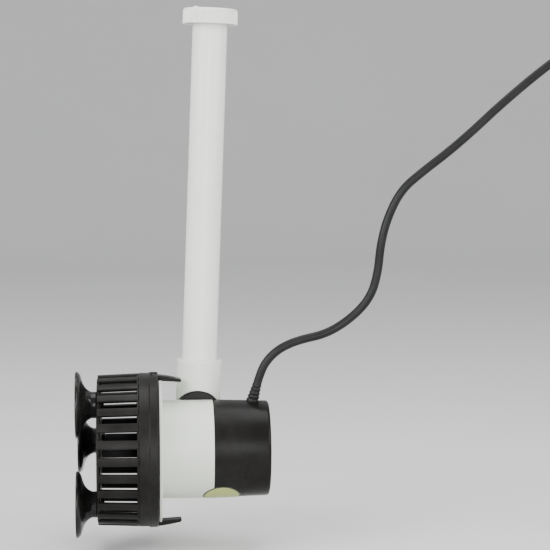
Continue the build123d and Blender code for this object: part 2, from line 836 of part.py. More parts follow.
# tie strap round the coil's section, at the side away from the cord's entry
tie_width = 9.0
tie_wall = 0.9
with BuildPart() as coil_tie:
    with BuildSketch(Plane.XZ.offset(-coil_y + tie_width / 2)):
        with Locations((coil_x - coil_mean_r, floor_z + coil_height / 2 + tie_wall)):
            RectangleRounded(2 * coil_half_width + 2 * tie_wall, coil_height + 2 * tie_wall, cord_r + tie_wall)
            RectangleRounded(2 * coil_half_width, coil_height, cord_r, mode=Mode.SUBTRACT)
    extrude(amount=-tie_width)
coil_tie.part.label = "coil_tie"
export_step(coil_tie.part, "parts/coil_tie.step")

# moulded two-pin plug
plug_relief = 20.0
plug_body = 34.0
plug_half_width = 13.0
plug_height = 14.0
pin_spacing = 19.0
pin_r = 2.0
pin_length = 19.0
plug_z = floor_z + plug_height / 2
with BuildPart() as mains_plug:
    with BuildSketch(Plane.XZ.offset(-plug_y)):
        with Locations((entry_x, tail_z + 0.6)):
            Circle(cord_r + 0.6)
    with BuildSketch(Plane.XZ.offset(-plug_y - plug_relief)):
        with Locations((entry_x, floor_z + 5.6)):
            Circle(5.4)
    loft()
    with BuildSketch(Plane.XZ.offset(-plug_y - plug_relief)):
        with Locations((entry_x, plug_z)):
            RectangleRounded(15, plug_height - 2, 4)
    with BuildSketch(Plane.XZ.offset(-plug_y - plug_relief - 14)):
        with Locations((entry_x, plug_z)):
            RectangleRounded(2 * plug_half_width, plug_height, 5)
    with BuildSketch(Plane.XZ.offset(-plug_y - plug_relief - plug_body)):
        with Locations((entry_x, plug_z)):
            RectangleRounded(2 * plug_half_width, plug_height, 5)
    loft(ruled=True)
mains_plug.part.label = "mains_plug"
export_step(mains_plug.part, "parts/mains_plug.step")

with BuildPart() as plug_pins:
    with BuildSketch(Plane.XZ.offset(-plug_y - plug_relief - plug_body)):
        with Locations((entry_x, plug_z)):
            with GridLocations(pin_spacing, 1, 2, 1):
                Circle(pin_r)
    extrude(amount=-pin_length)
    tip_faces = plug_pins.faces().filter_by(Axis.Y).group_by(Axis.Y)[-1]
    fillet(tip_faces.edges(), 0.9)
plug_pins.part.label = "plug_pins"
export_step(plug_pins.part, "parts/plug_pins.step")
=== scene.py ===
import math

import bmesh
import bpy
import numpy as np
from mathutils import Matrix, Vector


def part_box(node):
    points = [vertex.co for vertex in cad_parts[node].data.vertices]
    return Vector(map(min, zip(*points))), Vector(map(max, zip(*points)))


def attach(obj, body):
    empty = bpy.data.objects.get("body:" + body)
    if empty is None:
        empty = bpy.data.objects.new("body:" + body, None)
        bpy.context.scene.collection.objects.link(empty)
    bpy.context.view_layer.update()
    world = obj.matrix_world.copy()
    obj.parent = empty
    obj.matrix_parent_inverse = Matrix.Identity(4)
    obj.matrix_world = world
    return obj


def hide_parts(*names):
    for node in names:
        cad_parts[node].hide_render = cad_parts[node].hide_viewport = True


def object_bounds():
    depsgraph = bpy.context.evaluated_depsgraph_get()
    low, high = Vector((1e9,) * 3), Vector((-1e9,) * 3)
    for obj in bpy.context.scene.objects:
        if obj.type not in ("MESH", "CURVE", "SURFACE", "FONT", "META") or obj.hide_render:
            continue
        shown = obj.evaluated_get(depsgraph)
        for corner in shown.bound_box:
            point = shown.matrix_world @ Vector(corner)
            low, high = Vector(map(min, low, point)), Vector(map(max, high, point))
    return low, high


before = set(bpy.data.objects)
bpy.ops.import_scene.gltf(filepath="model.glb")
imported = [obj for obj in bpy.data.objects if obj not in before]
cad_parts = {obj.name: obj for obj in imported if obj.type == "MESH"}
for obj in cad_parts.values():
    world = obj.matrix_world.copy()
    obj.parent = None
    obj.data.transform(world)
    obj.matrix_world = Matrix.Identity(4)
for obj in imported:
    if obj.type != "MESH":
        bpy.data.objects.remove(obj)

# %% [markdown]
# # A submersible fountain pump
#
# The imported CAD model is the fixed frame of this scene: every body, joint and size comes from it.
# Blender adds what a drawing leaves out, which is softened edges, ribs, mould grain, rubber that
# shines and a cord that hangs. The scene is in metres, the origin is on the tank wall in the
# middle of the suction cups, +X runs out along the pump and +Z runs up the riser.

MM = 0.001
cad_low, cad_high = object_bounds()
print("CAD box, mm:", [round(1000 * (b - a)) for a, b in zip(cad_low, cad_high)])


def box_mm(node):
    """The low and high corners of a CAD node's box, in millimetres."""
    return [np.array(corner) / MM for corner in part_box(node)]


def new_object(name, data):
    """An object that holds the data, linked to the scene."""
    made = bpy.data.objects.new(name, data)
    bpy.context.scene.collection.objects.link(made)
    return made


# %% [markdown]
# ## The camera
#
# A camera that stands far off flattens a thing, and one that stands close makes it bulge. Here it
# is 1.3 metres away, a little above the pump and a few degrees towards the wall side, so that the
# far end of the motor falls away slightly. The lens follows from the distance and from the width
# that has to fit in the picture.

# %% Camera
LOOK_AT = Vector((142.9, 0, 125.2)) * MM
DISTANCE = 1300 * MM
PICTURE_WIDTH = 395.5 * MM
AZIMUTH = math.radians(-4.6)
ELEVATION = math.radians(4.2)


def make_camera():
    """A camera on a sphere round LOOK_AT, looking at its middle."""
    data = bpy.data.cameras.new("camera")
    data.sensor_width = 36.0
    data.lens = data.sensor_width * DISTANCE / PICTURE_WIDTH
    data.clip_start = 0.01
    camera = new_object("camera", data)
    level = math.cos(ELEVATION)
    back = Vector((math.sin(AZIMUTH) * level, -math.cos(AZIMUTH) * level, math.sin(ELEVATION)))
    camera.location = LOOK_AT + back * DISTANCE
    camera.rotation_euler = (-back).to_track_quat("-Z", "Y").to_euler()
    bpy.context.scene.camera = camera


make_camera()

# %% [markdown]
# ## Turning arrays into meshes
#
# Each new piece below is a surface worked out with numpy as a whole array of points. Blender needs
# two lists from it: where the points are, and which four of them make each face. One helper lists
# the faces of a grid of points, closed at its seams. Another turns the faces outwards, by the sign
# of the volume that they enclose.

# %% Grid to mesh
def signed_volume(points, faces):
    """Sum over the faces' triangles of a . (b x c) / 6, positive when they face outwards."""
    a, b, c, d = (points[faces[:, k]] for k in range(4))
    first = np.einsum("ij,ij->i", a, np.cross(b, c))
    second = np.einsum("ij,ij->i", a, np.cross(c, d))
    return (first + second).sum() / 6


def grid_faces(rows, columns, close_rows=False, close_columns=True):
    """Quads that join each point (row, column) to its neighbours, round the seams where closed."""
    row = np.arange(rows if close_rows else rows - 1)[:, None]
    column = np.arange(columns if close_columns else columns - 1)[None, :]
    next_row = (row + 1) % rows
    next_column = (column + 1) % columns
    corners = [
        row * columns + column,
        row * columns + next_column,
        next_row * columns + next_column,
        next_row * columns + column,
    ]
    return np.stack([np.broadcast_to(c, corners[0].shape).ravel() for c in corners], axis=1)


def join_meshes(meshes):
    """One (points, faces) pair from several, each one's faces counted on from the last one's."""
    starts = np.cumsum([0] + [len(points) for points, _ in meshes[:-1]])
    points = np.concatenate([points for points, _ in meshes])
    faces = np.concatenate([faces + start for (_, faces), start in zip(meshes, starts)])
    return points, faces


def outward(points, faces):
    """The same faces, turned round if they enclose a negative volume."""
    return points, faces if signed_volume(points, faces) > 0 else faces[:, ::-1]


def weld(mesh, distance, flat_angle=None):
    """Joins points nearer than the distance, then drops empty faces or joins up flat ones."""
    welder = bmesh.new()
    welder.from_mesh(mesh)
    bmesh.ops.remove_doubles(welder, verts=welder.verts, dist=distance)
    if flat_angle is None:
        bmesh.ops.dissolve_degenerate(welder, edges=welder.edges, dist=distance / 10)
    else:
        bmesh.ops.dissolve_limit(welder, angle_limit=flat_angle, verts=welder.verts,
                                 edges=welder.edges)
    welder.to_mesh(mesh)
    welder.free()


def make_piece(name, points, faces, material, body, stands_for, slot, sharp=32):
    """A smooth mesh object from points in millimetres, that rides on a body of the frame."""
    mesh = bpy.data.meshes.new(name)
    mesh.from_pydata((points * MM).tolist(), [], faces.tolist())
    mesh.materials.append(material)
    weld(mesh, 1e-7)
    mesh.shade_smooth()
    mesh.set_sharp_from_angle(angle=math.radians(sharp))
    piece = new_object(name, mesh)
    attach(piece, body)
    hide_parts(*stands_for)
    print(name, len(mesh.polygons), "faces")
    return piece


# %% [markdown]
# ## Round corners and turned shapes
#
# Most of a pump is turned or moulded round an axis. A turned piece is a profile of a few corners,
# carried round that axis. Real mouldings have no sharp corners, so each corner of the profile is
# first replaced by a short curve. Doing it to the profile costs a few points, where a Bevel
# modifier would have to find the same edges again on the finished mesh.

# %% Profiles
AXES = {name: np.roll(np.eye(3), -k, axis=0) for k, name in enumerate("xyz")}


def soften(corners, radius=0.4, steps=5, closed=True):
    """Each corner P becomes a curve (1-t)^2 A + 2t(1-t) P + t^2 B.

    A and B lie on the two sides that meet at P, the radius away from it, or 0.45 of the side
    where that is less. An open outline keeps its first and last points."""
    corners = np.asarray(corners, float)
    to_last = np.roll(corners, 1, axis=0) - corners
    to_next = np.roll(corners, -1, axis=0) - corners
    last_length = np.linalg.norm(to_last, axis=1, keepdims=True)
    next_length = np.linalg.norm(to_next, axis=1, keepdims=True)
    reach = np.broadcast_to(np.asarray(radius, float).reshape(-1, 1), last_length.shape)
    cut = np.minimum(reach, 0.45 * np.minimum(last_length, next_length))
    start = (corners + to_last / last_length * cut)[:, None]
    end = (corners + to_next / next_length * cut)[:, None]
    t = np.linspace(0, 1, steps)[None, :, None]
    curve = (1 - t) ** 2 * start + 2 * t * (1 - t) * corners[:, None] + t**2 * end
    if closed:
        return curve.reshape(-1, 2)
    inner = curve[1:-1].reshape(-1, 2)
    return np.concatenate([corners[:1], inner, corners[-1:]])


def circle(columns):
    """A row of evenly spaced angles round a whole circle."""
    return np.linspace(0, 2 * math.pi, columns, endpoint=False)[None, :]


def around(height, radius, angle, centre, axes):
    """Points centre + h A + r (B cos a + C sin a), for arrays of h, r and a and axes A, B, C."""
    along, across, third = axes
    points = (
        np.asarray(centre, float)
        + (height + 0 * angle)[..., None] * along
        + (radius * np.cos(angle))[..., None] * across
        + (radius * np.sin(angle))[..., None] * third
    )
    return points.reshape(-1, 3)


def turned(profile, centre=(0, 0, 0), axis="x", columns=128, closed=True, ripple=None):
    """The profile's points (h, r) carried round the axis, as a mesh that faces outwards.

    ripple(h, r, a) may change the radius. An open profile starts and ends on the axis, where its
    points run together into a pole."""
    angle = circle(columns)
    height = profile[:, 0][:, None]
    radius = profile[:, 1][:, None] + 0 * angle
    if ripple is not None:
        radius = ripple(height, radius, angle)
    points = around(height, radius, angle, centre, AXES[axis] if isinstance(axis, str) else axis)
    return outward(points, grid_faces(len(profile), columns, close_rows=closed))


# %% [markdown]
# A bar is the other shape that repeats: one outline carried a short way, with its two ends pulled
# in so that they are rounded too. The strainer's ribs and the release tabs are bars.

# %% Bars
def bar(outline, start, end, axis="x", round_end=0.5, taper=0.0):
    """Points p(u, v): the outline's point v, moved along the axis by u.

    Near both ends the outline shrinks towards its own middle by a quarter circle of radius
    round_end, and taper adds a share of growth from start to end. The middle closes each end."""
    along, across, third = AXES[axis]
    quarter = np.linspace(0, math.pi / 2, 4)
    inset = round_end * (1 - np.sin(quarter))
    step = round_end * (1 - np.cos(quarter))
    place = np.concatenate([start + step, end - step[::-1]])
    inset = np.concatenate([inset, inset[::-1]])
    place = np.concatenate([[start], place, [end]])
    outline = np.asarray(outline, float)
    middle = outline.mean(axis=0)
    spread = outline - middle
    size = np.linalg.norm(spread, axis=1).max()
    share = np.concatenate([[0], 1 - inset / size, [0]])[:, None, None]
    growth = (1 + taper * (place - start) / (end - start))[:, None, None]
    flat = middle * growth + spread[None] * share
    points = place[:, None, None] * along + flat[..., :1] * across + flat[..., 1:] * third
    faces = grid_faces(len(place), len(outline))
    return outward(points.reshape(-1, 3), faces)


def rotated(mesh, angle, axis="x"):
    """The mesh turned about an axis through the origin by the angle, in radians."""
    points, faces = mesh
    along, across, third = AXES[axis]
    a, b, c = points @ along, points @ across, points @ third
    turned_b = b * math.cos(angle) - c * math.sin(angle)
    turned_c = b * math.sin(angle) + c * math.cos(angle)
    return a[:, None] * along + turned_b[:, None] * across + turned_c[:, None] * third, faces

# %% [markdown]
# ## Shared effects
#
# Four effects turn up in more than one finish: the fine grain that a mould leaves, a slow drift of
# tone, the thin chalky film that hard water dries to, and hairline scuffs. Each is a node group
# with its own inputs, built once. A group gives out only colours, masks and heights, and the
# shader itself stays in the material, where the model's export can read it.

# %% Node helpers
def new_group(name, outputs, **inputs):
    """An empty shader group that takes a Vector and the named numbers or colours.

    It comes with its input node's sockets and its output node's sockets."""
    group = bpy.data.node_groups.new(name, "ShaderNodeTree")
    group.interface.new_socket("Vector", in_out="INPUT", socket_type="NodeSocketVector")
    for socket, value in inputs.items():
        kind = "NodeSocketColor" if isinstance(value, tuple) else "NodeSocketFloat"
        made = group.interface.new_socket(socket, in_out="INPUT", socket_type=kind)
        made.default_value = value
    for socket in outputs:
        kind = "NodeSocketColor" if socket == "Color" else "NodeSocketFloat"
        group.interface.new_socket(socket, in_out="OUTPUT", socket_type=kind)
    given = group.nodes.new("NodeGroupInput").outputs
    return group, given, group.nodes.new("NodeGroupOutput").inputs


def add(tree, kind, **settings):
    """A new node of that kind. A setting that names a property sets it, and any other one is an
    input socket, which takes either a value or another node's output socket."""
    node = tree.nodes.new(kind)
    for key in [key for key in settings if hasattr(node, key)]:
        setattr(node, key, settings.pop(key))
    for key, value in settings.items():
        place = int(key[1:]) if key[0] == "i" and key[1:].isdigit() else key.replace("_", " ")
        if isinstance(value, bpy.types.NodeSocket):
            tree.links.new(value, node.inputs[place])
        else:
            node.inputs[place].default_value = value
    return node


def spread(tree, value, low, high, to_low=0.0, to_high=1.0):
    """A Map Range node: value from low..high to to_low..to_high, held at both ends."""
    node = add(tree, "ShaderNodeMapRange", Value=value, From_Min=low, From_Max=high,
               To_Min=to_low, To_Max=to_high)
    return node.outputs["Result"]


def mixed(tree, share, first, second):
    """A colour between first and second, by share."""
    node = add(tree, "ShaderNodeMix", data_type="RGBA", i0=share, i6=first, i7=second)
    return node.outputs[2]


def maths(tree, operation, first, second=0.0):
    """The result of a Math node."""
    return add(tree, "ShaderNodeMath", operation=operation, i0=first, i1=second).outputs[0]


def weighed(tree, first, share, second, other_share):
    """first x share + second x other_share."""
    return maths(tree, "ADD", maths(tree, "MULTIPLY", first, share),
                 maths(tree, "MULTIPLY", second, other_share))


def noise(tree, where, scale, detail=2.0, roughness=0.5):
    """A noise texture's value, which stays round 0.5."""
    return add(tree, "ShaderNodeTexNoise", Vector=where, Scale=scale, Detail=detail,
               Roughness=roughness).outputs[0]


# %% Mould grain
def make_grain():
    """Height and mask of moulded plastic: fine even grain with a few shallow sink marks."""
    group, given, out = new_group("moulded_grain", ["Height", "Mask"], Scale=900.0)
    fine = noise(group, given["Vector"], given["Scale"], 4.0, 0.6)
    broad = noise(group, given["Vector"], 28.0)
    group.links.new(weighed(group, fine, 0.35, broad, 0.65), out["Height"])
    group.links.new(spread(group, broad, 0.35, 0.65), out["Mask"])
    return group


# %% Tone drift
def make_tone():
    """A colour that drifts lighter and darker in soft patches, by Amount."""
    group, given, out = new_group("tone_drift", ["Color"], Color=(0.5, 0.5, 0.5, 1), Scale=18.0,
                                  Amount=0.1)
    patch = noise(group, given["Vector"], given["Scale"], 5.0, 0.55)
    swing = maths(group, "MULTIPLY", spread(group, patch, 0.3, 0.7, -1.0, 1.0), given["Amount"])
    value = maths(group, "ADD", swing, 1.0)
    hue = add(group, "ShaderNodeHueSaturation", Color=given["Color"], Value=value)
    group.links.new(hue.outputs["Color"], out["Color"])
    return group


# %% Lime film
def make_film():
    """A mask of dried lime: broad clouds, broken up by fine specks, thicker as Amount grows."""
    group, given, out = new_group("lime_film", ["Mask"], Amount=0.3)
    clouds = spread(group, noise(group, given["Vector"], 42.0, 6.0, 0.62), 0.42, 0.72)
    specks = spread(group, noise(group, given["Vector"], 700.0), 0.48, 0.66)
    both = weighed(group, clouds, 0.55, maths(group, "MULTIPLY", clouds, specks), 0.45)
    group.links.new(maths(group, "MULTIPLY", both, given["Amount"]), out["Mask"])
    return group


# %% Scuffs
def make_scuffs():
    """A mask of hairline scuffs: noise stretched along a slant, cut to its narrow peaks."""
    group, given, out = new_group("hairline_scuffs", ["Mask"], Scale=60.0)
    slant = add(group, "ShaderNodeMapping", Vector=given["Vector"], Rotation=(0.5, 0.7, 0.3),
                Scale=(1.0, 14.0, 14.0))
    lines = spread(group, noise(group, slant.outputs[0], given["Scale"]), 0.64, 0.70)
    places = spread(group, noise(group, given["Vector"], 35.0), 0.5, 0.62)
    group.links.new(maths(group, "MULTIPLY", lines, places), out["Mask"])
    return group


grain_group = make_grain()
tone_group = make_tone()
film_group = make_film()
scuff_group = make_scuffs()

# %% [markdown]
# ## Finishes
#
# Every finish has the same skeleton. A base colour drifts in tone, lime lies over it as a paler
# and rougher film, scuffs roughen it in lines, and a bump gives the surface its grain. What sets
# black moulded plastic apart from rubber or from white pipe is the numbers, so one function takes
# them, and hands back the tree for the few finishes that add something of their own.

# %% One finish
def placed(tree, node_group, **inputs):
    """A node that holds the group, with its inputs set."""
    return add(tree, "ShaderNodeGroup", node_tree=node_group, **inputs)


def finish(name, colour, roughness=(0.3, 0.45), tone=0.1, tone_scale=18.0, lime=0.2,
           lime_colour=(0.55, 0.56, 0.52, 1), scuffs=0.12, grain=900.0, bump=0.15, metallic=0.0,
           coat=0.0, specular=0.5):
    """A material with drifting tone, lime, scuffs and grain, and the sockets for adding more."""
    material = bpy.data.materials.new(name)
    material.use_nodes = True
    tree = material.node_tree
    shader = tree.nodes["Principled BSDF"]
    where = tree.nodes.new("ShaderNodeTexCoord").outputs["Object"]
    drift = placed(tree, tone_group, Vector=where, Color=colour + (1,), Scale=tone_scale,
                   Amount=tone)
    film = placed(tree, film_group, Vector=where, Amount=lime)
    scuff = placed(tree, scuff_group, Vector=where)
    surface = placed(tree, grain_group, Vector=where, Scale=grain)
    painted = mixed(tree, film.outputs["Mask"], drift.outputs["Color"], lime_colour)
    rough = spread(tree, surface.outputs["Mask"], 0.0, 1.0, *roughness)
    rough = maths(tree, "ADD", rough, maths(tree, "MULTIPLY", film.outputs["Mask"], 0.35))
    rough = maths(tree, "ADD", rough, maths(tree, "MULTIPLY", scuff.outputs["Mask"], scuffs))
    relief = add(tree, "ShaderNodeBump", Height=surface.outputs["Height"], Strength=bump,
                 Distance=0.0002)
    tree.links.new(painted, shader.inputs["Base Color"])
    tree.links.new(rough, shader.inputs["Roughness"])
    tree.links.new(relief.outputs["Normal"], shader.inputs["Normal"])
    levels = {"Metallic": metallic, "Coat Weight": coat, "Specular IOR Level": specular}
    for socket, level in levels.items():
        shader.inputs[socket].default_value = level
    return material, {"tree": tree, "shader": shader, "where": where, "colour": painted,
                      "relief": relief, "height": surface.outputs["Height"]}


def over_colour(made, share, colour):
    """Lays another colour over the finish, where share is 1."""
    tree = made["tree"]
    made["colour"] = mixed(tree, share, made["colour"], colour)
    tree.links.new(made["colour"], made["shader"].inputs["Base Color"])


def over_height(made, extra, share=0.5):
    """Adds a height to the finish's grain before its bump."""
    tree = made["tree"]
    total = weighed(tree, made["height"], 1 - share, extra, share)
    tree.links.new(total, made["relief"].inputs["Height"])


def banded(made, direction, scale, share):
    """Adds even bands across one direction, for windings, laminations and woven straps."""
    wave = add(made["tree"], "ShaderNodeTexWave", wave_type="BANDS", bands_direction=direction,
               Vector=made["where"], Scale=scale)
    over_height(made, wave.outputs["Fac"], share)


# %% [markdown]
# ### Plastics
#
# The strainer, motor and hub are black moulded plastic with a soft shine. The pump chamber,
# socket, pipe and cap are white, each a little different: the chamber has gone faintly green under
# water and is painted darker as painted shade, and the pipe is drawn through a die, so it has long
# fine lines instead of grain.

# %% Black and white plastics
black_plastic, _ = finish("black_plastic", (0.0058, 0.0052, 0.0047), roughness=(0.3, 0.44),
                          tone=0.18, lime=0.02, scuffs=0.15, bump=0.2, specular=0.14)
motor_plastic, _ = finish("motor_plastic", (0.005, 0.0045, 0.0041), roughness=(0.26, 0.4),
                          tone=0.15, lime=0.015, scuffs=0.15, bump=0.1, grain=1300.0,
                          specular=0.14)
# Chamber white: its faint green is the plastic's own, its darker value is painted shade.
white_plastic, _ = finish("white_plastic", (0.66, 0.70, 0.62), roughness=(0.3, 0.42), tone=0.035,
                          lime=0.10, lime_colour=(0.50, 0.53, 0.42, 1), scuffs=0.1, bump=0.1)
socket_plastic, _ = finish("socket_plastic", (0.74, 0.77, 0.70), roughness=(0.28, 0.4), tone=0.03,
                           lime=0.08, lime_colour=(0.58, 0.60, 0.50, 1), bump=0.1)
pipe_plastic, pipe = finish("pipe_plastic", (0.80, 0.82, 0.765), roughness=(0.24, 0.34),
                            tone=0.025, tone_scale=9.0, lime=0.05,
                            lime_colour=(0.66, 0.67, 0.58, 1), bump=0.03)
cap_plastic, _ = finish("cap_plastic", (0.82, 0.84, 0.79), roughness=(0.3, 0.4), tone=0.03,
                        lime=0.10, lime_colour=(0.66, 0.66, 0.58, 1), bump=0.1, grain=1500.0)
impeller_plastic, _ = finish("impeller_plastic", (0.09, 0.09, 0.10), roughness=(0.35, 0.5),
                             lime=0.25)
plug_plastic, _ = finish("plug_plastic", (0.02, 0.02, 0.021), roughness=(0.42, 0.56), lime=0.04,
                         scuffs=0.25, bump=0.4, grain=2200.0)
tie_plastic, tie = finish("tie_plastic", (0.035, 0.035, 0.036), roughness=(0.35, 0.5), lime=0.04)
label_film, label = finish("label_film", (0.40, 0.45, 0.14), roughness=(0.3, 0.42), tone=0.1,
                           lime=0.12, scuffs=0.2, bump=0.05)


def drawn_lines(made, scale=2600.0):
    """Long fine lines of a die, in the height: noise that is stretched along Z."""
    tree = made["tree"]
    slim = add(tree, "ShaderNodeMapping", Vector=made["where"], Scale=(1.0, 1.0, 0.02))
    over_height(made, noise(tree, slim.outputs[0], scale), 0.4)


drawn_lines(pipe)
banded(tie, "Y", 260.0, 0.7)


def label_rim(made, centre, radius, width=0.9):
    """A thin dark ring just inside the label's edge, by the distance from the label's middle."""
    tree = made["tree"]
    away = add(tree, "ShaderNodeVectorMath", operation="DISTANCE", i0=made["where"],
               i1=tuple(c * MM for c in centre)).outputs["Value"]
    ring = spread(tree, away, (radius - width - 0.15) * MM, (radius - width) * MM)
    over_colour(made, ring, (0.02, 0.025, 0.015, 1))


LABEL_MIDDLE, LABEL_R = (103.4, -15.9, -31.2), 13.5
label_rim(label, LABEL_MIDDLE, LABEL_R)

# %% [markdown]
# ### Rubber
#
# The suction cups are glossy: soft rubber that was polished by its mould. The lead's sheath is
# the same black but duller, with a trace of talc in it. Neither is pure black, because rubber
# always scatters a little light.

# %% Rubbers
cup_rubber, _ = finish("cup_rubber", (0.006, 0.0056, 0.0056), roughness=(0.14, 0.26), tone=0.2,
                       lime=0.02, scuffs=0.15, bump=0.06, grain=700.0, coat=0.12, specular=0.22)
cord_sheath, _ = finish("cord_sheath", (0.009, 0.009, 0.0095), roughness=(0.3, 0.44), tone=0.2,
                        tone_scale=60.0, lime=0.01, scuffs=0.05, bump=0.1, grain=1600.0,
                        specular=0.2)
seal_rubber, _ = finish("seal_rubber", (0.018, 0.018, 0.018), roughness=(0.45, 0.6), lime=0.12)

# %% [markdown]
# ### Inside the motor
#
# These finishes show only when the pump is pulled apart or drawn in section, but each is still
# the real material: laminations stacked along the shaft, enamelled wire, poured resin, a ground
# ferrite magnet and polished ceramic.

# %% Metals, windings and ceramic
stainless, steel = finish("stainless_steel", (0.60, 0.60, 0.58), roughness=(0.2, 0.34), lime=0.05,
                          metallic=1.0, bump=0.15)
core_steel, core = finish("core_steel", (0.36, 0.36, 0.37), roughness=(0.32, 0.46), lime=0.0,
                          metallic=1.0, bump=0.3)
copper_wire, copper = finish("copper_wire", (0.58, 0.24, 0.09), roughness=(0.2, 0.3), lime=0.0,
                             metallic=0.8, bump=0.6)
resin, _ = finish("potting_resin", (0.03, 0.027, 0.024), roughness=(0.12, 0.3), lime=0.0)
ferrite, _ = finish("ferrite_magnet", (0.06, 0.06, 0.065), roughness=(0.4, 0.55), metallic=0.3)
ceramic, _ = finish("white_ceramic", (0.84, 0.84, 0.80), roughness=(0.08, 0.15), lime=0.05,
                    coat=0.4, bump=0.03)
plug_brass, brass = finish("plug_brass", (0.66, 0.56, 0.34), roughness=(0.16, 0.3), lime=0.0,
                           metallic=1.0, scuffs=0.3, bump=0.1)
banded(core, "X", 320.0, 0.8)
banded(copper, "Z", 400.0, 0.9)
banded(steel, "Z", 160.0, 0.8)

# %% [markdown]
# ### The carried-over nodes
#
# A CAD node whose shape is right stays, and only takes a finish. The table below gives every
# node its finish first. The pieces that are made further down then stand in for some of them.

# %% A finish for every CAD node
FINISHES = {
    black_plastic: ["strainer_cage", "release_tab_upper", "release_tab_lower", "outlet_hub",
                    "hub_plug", "rotor_well", "chamber_cover"],
    motor_plastic: ["motor_housing"],
    cup_rubber: ["suction_cup_1", "suction_cup_2", "suction_cup_3"],
    white_plastic: ["chamber_housing"],
    socket_plastic: ["riser_socket"],
    pipe_plastic: ["riser_pipe", "nozzle_insert"],
    cap_plastic: ["bell_cap", "spreader_disc"],
    impeller_plastic: ["impeller"],
    seal_rubber: ["strainer_o_ring", "chamber_gasket", "rear_bush"],
    stainless: ["cover_screws", "head_stem"],
    core_steel: ["stator_core"],
    copper_wire: ["stator_coil_upper", "stator_coil_lower"],
    resin: ["potting_resin"],
    ferrite: ["rotor_magnet"],
    ceramic: ["shaft", "front_bush", "thrust_washer"],
    cord_sheath: ["strain_relief", "power_cord", "cord_coil", "cord_tail"],
    tie_plastic: ["coil_tie"],
    plug_plastic: ["mains_plug"],
    label_film: ["round_label"],
    plug_brass: ["plug_pins"],
}
for material, nodes in FINISHES.items():
    for node in nodes:
        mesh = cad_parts[node].data
        mesh.materials.clear()
        mesh.materials.append(material)
bare = sorted(set(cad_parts) - {n for nodes in FINISHES.values() for n in nodes})
print("nodes with no finish:", bare)

# %% [markdown]
# ## Suction cups
#
# A cup is one turned surface: a shallow dish that faces the wall, a thin rim, a bell that narrows
# to a neck, and a stud whose head holds it in the strainer's end wall. The bell's line is a cubic
# curve, flat at the rim and steep at the neck, which is what makes the highlights on it long.

# %% The three cups
CUP_CIRCLE = 41.0
CUP_HEIGHT = 14.8


def cubic(a, b, c, d, steps):
    """Bezier curve (1-t)^3 a + 3t(1-t)^2 b + 3t^2(1-t) c + t^3 d."""
    t = np.linspace(0, 1, steps)[:, None]
    a, b, c, d = (np.asarray(p, float) for p in (a, b, c, d))
    return (1 - t) ** 3 * a + 3 * t * (1 - t) ** 2 * b + 3 * t**2 * (1 - t) * c + t**3 * d


def cup_profile(wall=2.8, head=2.5, rim=23.5, neck=9.3, stud=4.0):
    """(height, radius) from the dish's middle, out round the rim and up the bell to the stud."""
    dish = cubic((3.8, 0), (3.8, 8), (1.2, 17), (0, rim - 1.6), 24)
    edge = soften([(0, rim - 1.6), (0, rim), (1.5, rim), (3.0, rim - 1.4)], 0.5, 6, closed=False)
    collar, top = CUP_HEIGHT - 3.4, CUP_HEIGHT + wall
    bell = cubic((3.0, rim - 1.4), (5.2, rim - 5.0), (4.6, neck + 2.6), (collar, neck), 28)
    stem = soften([(collar, neck), (CUP_HEIGHT, neck), (CUP_HEIGHT, stud), (top, stud),
                   (top, stud + 3), (top + head, stud + 1.2), (top + head, 0)], 0.7, 5,
                  closed=False)
    return np.concatenate([dish[:-1], edge[:-1], bell[:-1], stem])


def make_cups():
    """One cup in each third of the circle, all on the strainer."""
    for number in range(3):
        angle = 2 * math.pi * number / 3
        centre = (0, CUP_CIRCLE * math.cos(angle), CUP_CIRCLE * math.sin(angle))
        mesh = turned(cup_profile(), centre, columns=112, closed=False)
        make_piece(f"glossy_cup_{number + 1}", *mesh, cup_rubber, "strainer",
                   [f"suction_cup_{number + 1}"], "cup_rubber", sharp=50)


make_cups()

# %% [markdown]
# ## The strainer
#
# The strainer is a drum: a flat end, twenty-eight ribs and a band that carries the mouth. The end
# and the band are turned. Each rib is a bar with rounded edges, because light catches on those
# edges and that is what makes the slots read. At the mouth two flat seats are cut for the release
# tabs. On a seat the radius is held at z / sin(angle), so that the surface is flat at height z.

# %% Strainer cage
TAB_Y, TAB_WIDTH = -4.0, 10.0
SEAT_Z, SEAT_X = 50.0, 53.2
SLOTS, SLOT_START, SLOT_END = 28, 16.4, 43.2


def flat_spot(radius, angle, flat_z, half_width):
    """Radius held to flat_z / |sin(angle)| within half_width of the tabs' middle."""
    chord = flat_z / np.maximum(np.abs(np.sin(angle)), 0.2)
    beside = np.abs(radius * np.cos(angle) - TAB_Y) < half_width
    return np.where(beside & (np.abs(np.sin(angle)) > 0.8), np.minimum(radius, chord), radius)


def seats(height, radius, angle):
    """The mouth's outside, with the two seats for the tabs."""
    seat = flat_spot(radius, angle, SEAT_Z, TAB_WIDTH / 2 + 0.4)
    return np.where(height >= SEAT_X, seat, radius)


